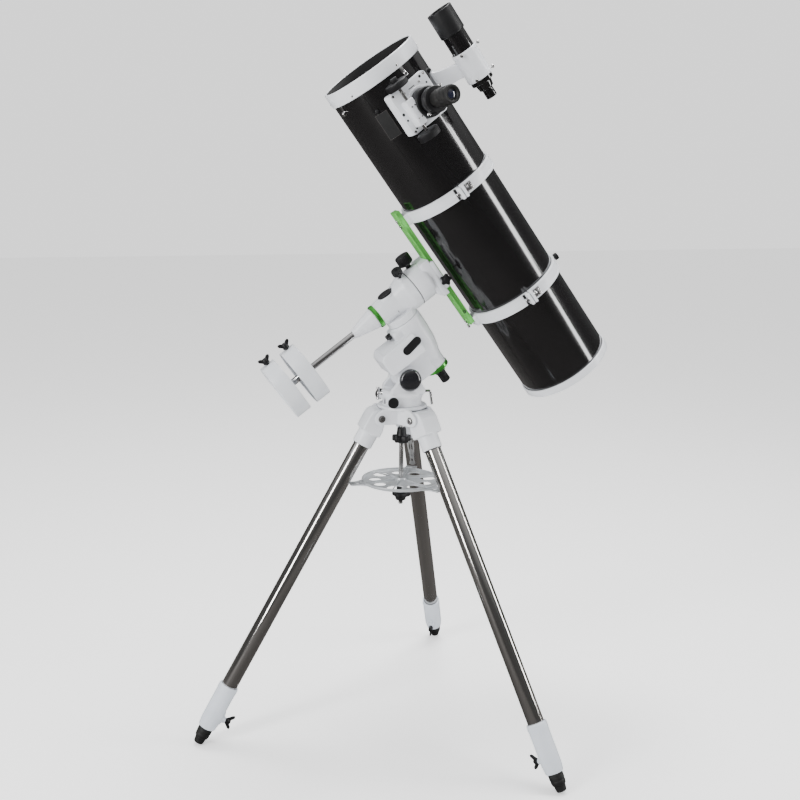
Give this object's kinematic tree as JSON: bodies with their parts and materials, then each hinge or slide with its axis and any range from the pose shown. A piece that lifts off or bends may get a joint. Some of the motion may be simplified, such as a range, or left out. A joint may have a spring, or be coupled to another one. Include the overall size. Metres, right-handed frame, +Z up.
{
  "type": "telescope on tripod",
  "caption": "Reflecting telescope on a counterweighted equatorial mount with a folding, extending steel tripod.",
  "frame": {"origin": "on the ground at the centre of the circle through the three tripod feet, under the azimuth axis", "axes": "+Z up; the polar axis and the tube lie in the XZ plane, and the tube's open end points up towards -X; the focuser faces -Y"},
  "size_m": [1.083, 0.9372, 1.8022],
  "materials": {
    "cast_white": "satin enamel on cast aluminium",
    "cast_grey": "satin grey enamel on cast aluminium",
    "steel": "polished stainless steel",
    "chrome": "bright plated",
    "black": "matt moulded plastic and black anodising",
    "gloss_black": "gloss black enamel",
    "green": "green anodised",
    "weight_paint": "painted cast iron"
  },
  "bodies": {
    "hub": {"tripod_hub": "cast_white", "leg_bolt_rear": "steel", "leg_bolt_front": "steel", "leg_bolt_north": "steel"},
    "centre_rod": {"centre_rod": "steel"},
    "tray": {"spreader_tray": "cast_grey"},
    "tray_knob": {"tray_knob": "black"},
    "leg_north": {"leg_casting_north": "cast_white", "leg_tube_north": "steel", "leg_clamp_north": "cast_grey"},
    "foot_north": {"leg_foot_north": "steel"},
    "leg_screw_north": {"leg_screw_north": "black"},
    "leg_front": {"leg_casting_front": "cast_white", "leg_tube_front": "steel", "leg_clamp_front": "cast_grey"},
    "foot_front": {"leg_foot_front": "steel"},
    "leg_screw_front": {"leg_screw_front": "black"},
    "leg_rear": {"leg_casting_rear": "cast_white", "leg_tube_rear": "steel", "leg_clamp_rear": "cast_grey"},
    "foot_rear": {"leg_foot_rear": "steel"},
    "leg_screw_rear": {"leg_screw_rear": "black"},
    "azimuth_base": {"azimuth_base": "cast_white", "altitude_pin": "gloss_black"},
    "azimuth_knob_front": {"azimuth_knob_front": "black"},
    "azimuth_knob_rear": {"azimuth_knob_rear": "black"},
    "t_screw": {"altitude_t_screw": "chrome"},
    "lever_screw": {"altitude_lever_screw": "steel"},
    "polar_housing": {"polar_housing": "cast_white"},
    "polar_ring": {"polar_ring": "green"},
    "polar_eyepiece": {"polar_eyepiece": "black"},
    "polar_clutch": {"polar_clutch": "black"},
    "dec_housing": {"dec_housing": "cast_white", "shaft_cone": "cast_white", "weight_shaft": "steel"},
    "polar_cap": {"polar_cap": "black"},
    "dec_ring": {"dec_ring": "green"},
    "dec_clutch": {"dec_clutch": "black"},
    "weight_upper": {"weight_upper": "weight_paint"},
    "weight_screw_upper": {"weight_screw_upper": "black"},
    "weight_lower": {"weight_lower": "weight_paint"},
    "weight_screw_lower": {"weight_screw_lower": "black"},
    "saddle": {"saddle": "cast_white"},
    "saddle_star_knob": {"saddle_star_knob": "black"},
    "saddle_big_knob": {"saddle_big_knob": "black"},
    "bar": {"dovetail_bar": "green", "ring_base_upper": "cast_white", "ring_base_lower": "cast_white"},
    "ring_cap_upper": {"ring_cap_upper": "cast_white"},
    "ring_cap_lower": {"ring_cap_lower": "cast_white"},
    "tube": {"tube": "gloss_black", "front_ring": "cast_white", "mirror_cell": "cast_white", "spider": "black", "focuser_body": "cast_white", "finder_bracket": "cast_white"},
    "drawtube": {"drawtube": "chrome"},
    "focus_knobs": {"focus_knobs": "black"},
    "eyepiece": {"eyepiece": "black"},
    "finder_scope": {"finder_scope": "gloss_black"}
  },
  "joints": [
    {"name": "centre_rod_turn", "type": "hinge", "parent": "hub", "child": "centre_rod", "pos_m": [0, 0, 0.767], "axis": [0, 0, 1], "continuous": true},
    {"name": "leg_fold_north", "type": "hinge", "parent": "hub", "child": "leg_north", "pos_m": [-0.064, 0, 0.829], "axis": [0, -1, 0], "range_deg": [0, 20]},
    {"name": "leg_extend_north", "type": "slide", "parent": "leg_north", "child": "foot_north", "axis": [-0.4916, 0, -0.8708], "range_m": [0, 0.35]},
    {"name": "leg_screw_turn_north", "type": "hinge", "parent": "leg_north", "child": "leg_screw_north", "pos_m": [-0.49072, 0, 0.07313], "axis": [0.8708, 0, -0.4916], "continuous": true},
    {"name": "leg_fold_front", "type": "hinge", "parent": "hub", "child": "leg_front", "pos_m": [0.032, -0.05543, 0.829], "axis": [0.866, 0.5, 0], "range_deg": [0, 20]},
    {"name": "leg_extend_front", "type": "slide", "parent": "leg_front", "child": "foot_front", "axis": [0.2458, -0.4257, -0.8708], "range_m": [0, 0.35]},
    {"name": "leg_screw_turn_front", "type": "hinge", "parent": "leg_front", "child": "leg_screw_front", "pos_m": [0.24536, -0.42497, 0.07313], "axis": [-0.4354, 0.7541, -0.4916], "continuous": true},
    {"name": "leg_fold_rear", "type": "hinge", "parent": "hub", "child": "leg_rear", "pos_m": [0.032, 0.05543, 0.829], "axis": [-0.866, 0.5, 0], "range_deg": [0, 20]},
    {"name": "leg_extend_rear", "type": "slide", "parent": "leg_rear", "child": "foot_rear", "axis": [0.2458, 0.4257, -0.8708], "range_m": [0, 0.35]},
    {"name": "leg_screw_turn_rear", "type": "hinge", "parent": "leg_rear", "child": "leg_screw_rear", "pos_m": [0.24536, 0.42497, 0.07313], "axis": [-0.4354, -0.7541, -0.4916], "continuous": true},
    {"name": "tray_drop", "type": "slide", "parent": "hub", "child": "tray", "axis": [0, 0, -1], "range_m": [0, 0.46]},
    {"name": "tray_knob_turn", "type": "hinge", "parent": "tray", "child": "tray_knob", "pos_m": [0, 0, 0.62], "axis": [0, 0, 1], "continuous": true},
    {"name": "azimuth_turn", "type": "hinge", "parent": "hub", "child": "azimuth_base", "pos_m": [0, 0, 0.8573], "axis": [0, 0, 1], "range_deg": [-7, 7]},
    {"name": "azimuth_screw_front", "type": "slide", "parent": "azimuth_base", "child": "azimuth_knob_front", "axis": [0, 1, 0], "range_m": [-0.005, 0.005]},
    {"name": "azimuth_screw_rear", "type": "slide", "parent": "azimuth_base", "child": "azimuth_knob_rear", "axis": [0, 1, 0], "range_m": [-0.005, 0.005]},
    {"name": "altitude_tilt", "type": "hinge", "parent": "azimuth_base", "child": "polar_housing", "pos_m": [0.006, 0, 0.925], "axis": [0, 1, 0], "range_deg": [-7, 10]},
    {"name": "t_screw_push", "type": "slide", "parent": "azimuth_base", "child": "t_screw", "axis": [-1, 0, 0], "range_m": [-0.005, 0.007]},
    {"name": "lever_screw_push", "type": "slide", "parent": "azimuth_base", "child": "lever_screw", "axis": [-1, 0, 0], "range_m": [-0.005, 0.007]},
    {"name": "polar_ring_turn", "type": "hinge", "parent": "polar_housing", "child": "polar_ring", "pos_m": [0.09215, 0, 0.94492], "axis": [0.5948, 0, -0.8039], "continuous": true},
    {"name": "polar_eyepiece_turn", "type": "hinge", "parent": "polar_housing", "child": "polar_eyepiece", "pos_m": [0.10226, 0, 0.93125], "axis": [0.5948, 0, -0.8039], "continuous": true},
    {"name": "polar_clutch_turn", "type": "hinge", "parent": "polar_housing", "child": "polar_clutch", "pos_m": [-0.0331, 0, 1.03013], "axis": [-0.8039, 0, -0.5948], "range_deg": [0, 60]},
    {"name": "polar_turn", "type": "hinge", "parent": "polar_housing", "child": "dec_housing", "pos_m": [-0.0286, 0, 1.1081], "axis": [0.5948, 0, -0.8039], "range_deg": [-75, 75]},
    {"name": "polar_cap_pull", "type": "slide", "parent": "dec_housing", "child": "polar_cap", "axis": [-0.5948, 0, 0.8039], "range_m": [0, 0.04]},
    {"name": "dec_ring_turn", "type": "hinge", "parent": "dec_housing", "child": "dec_ring", "pos_m": [-0.0704, 0, 1.07717], "axis": [0.8039, 0, 0.5948], "continuous": true},
    {"name": "dec_clutch_turn", "type": "hinge", "parent": "dec_housing", "child": "dec_clutch", "pos_m": [0.01159, 0, 1.13784], "axis": [-0.5515, -0.3746, 0.7453], "range_deg": [0, 90]},
    {"name": "weight_slide_upper", "type": "slide", "parent": "dec_housing", "child": "weight_upper", "axis": [0.8039, 0, 0.5948], "range_m": [-0.015, 0.11]},
    {"name": "weight_screw_turn_upper", "type": "hinge", "parent": "weight_upper", "child": "weight_screw_upper", "pos_m": [-0.24685, 0, 0.94661], "axis": [-0.5948, 0, 0.8039], "continuous": true},
    {"name": "weight_slide_lower", "type": "slide", "parent": "dec_housing", "child": "weight_lower", "axis": [0.8039, 0, 0.5948], "range_m": [0, 0.015]},
    {"name": "weight_screw_turn_lower", "type": "hinge", "parent": "weight_lower", "child": "weight_screw_lower", "pos_m": [-0.29468, 0, 0.91121], "axis": [-0.5948, 0, 0.8039], "continuous": true},
    {"name": "dec_turn", "type": "hinge", "parent": "dec_housing", "child": "saddle", "pos_m": [-0.0286, 0, 1.1081], "axis": [0.8039, 0, 0.5948], "continuous": true},
    {"name": "star_knob_turn", "type": "hinge", "parent": "saddle", "child": "saddle_star_knob", "pos_m": [0.08941, -0.03, 1.17054], "axis": [0, -1, 0], "continuous": true},
    {"name": "big_knob_turn", "type": "hinge", "parent": "saddle", "child": "saddle_big_knob", "pos_m": [0.00484, 0, 1.20749], "axis": [-0.5948, 0, 0.8039], "continuous": true},
    {"name": "bar_slide", "type": "slide", "parent": "saddle", "child": "bar", "axis": [0.5948, 0, -0.8039], "range_m": [-0.08, 0.08]},
    {"name": "ring_open_upper", "type": "hinge", "parent": "bar", "child": "ring_cap_upper", "pos_m": [0.11647, 0.1315, 1.39707], "axis": [-0.5948, 0, 0.8039], "range_deg": [0, 110]},
    {"name": "ring_open_lower", "type": "hinge", "parent": "bar", "child": "ring_cap_lower", "pos_m": [0.30117, 0.1315, 1.14748], "axis": [-0.5948, 0, 0.8039], "range_deg": [0, 110]},
    {"name": "tube_roll", "type": "hinge", "parent": "bar", "child": "tube", "pos_m": [0.19407, 0, 1.27287], "axis": [0.5948, 0, -0.8039], "continuous": true},
    {"name": "drawtube_slide", "type": "slide", "parent": "tube", "child": "drawtube", "axis": [0.1603, -0.9799, 0.1186], "range_m": [-0.01, 0.03]},
    {"name": "focus_knobs_turn", "type": "hinge", "parent": "tube", "child": "focus_knobs", "pos_m": [-0.02859, -0.15398, 1.55781], "axis": [0.5948, 0, -0.8039], "range_deg": [-75, 220]},
    {"name": "eyepiece_pull", "type": "slide", "parent": "drawtube", "child": "eyepiece", "axis": [0.1603, -0.9799, 0.1186], "range_m": [0, 0.045]},
    {"name": "finder_slide", "type": "slide", "parent": "tube", "child": "finder_scope", "axis": [0.5948, 0, -0.8039], "range_m": [-0.01, 0.01]}
  ],
  "couplings": [
    {"joint": "leg_fold_front", "follows": "leg_fold_north", "ratio": 1},
    {"joint": "leg_fold_rear", "follows": "leg_fold_north", "ratio": 1},
    {"joint": "tray_drop", "follows": "leg_fold_north", "m_per_rad": 1.289},
    {"joint": "azimuth_screw_front", "follows": "azimuth_turn", "m_per_rad": 0.04},
    {"joint": "azimuth_screw_rear", "follows": "azimuth_turn", "m_per_rad": 0.04},
    {"joint": "t_screw_push", "follows": "altitude_tilt", "m_per_rad": 0.039},
    {"joint": "lever_screw_push", "follows": "altitude_tilt", "m_per_rad": 0.039},
    {"joint": "focus_knobs_turn", "follows": "drawtube_slide", "rad_per_m": 125}
  ]
}
